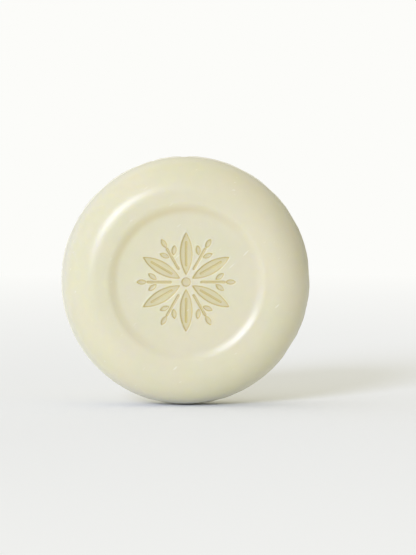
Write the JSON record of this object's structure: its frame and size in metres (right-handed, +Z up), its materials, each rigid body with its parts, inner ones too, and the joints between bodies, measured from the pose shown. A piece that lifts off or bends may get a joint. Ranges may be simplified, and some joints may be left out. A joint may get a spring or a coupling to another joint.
{
  "type": "shaving soap puck",
  "caption": "Round pressed puck of hard shaving soap with a shallow dish in both faces and a petal rosette pressed into the front dish, standing on its rim.",
  "frame": {"origin": "under the centre of the puck, on the surface that its rim stands on", "axes": "+Z up; +Y along the puck's own axis, from the decorated face towards the back; +X to the right as seen facing the decorated face"},
  "size_m": [0.072, 0.025, 0.072],
  "materials": {
    "soap": "satin"
  },
  "bodies": {
    "root": {"soap_puck": "soap"}
  },
  "joints": []
}
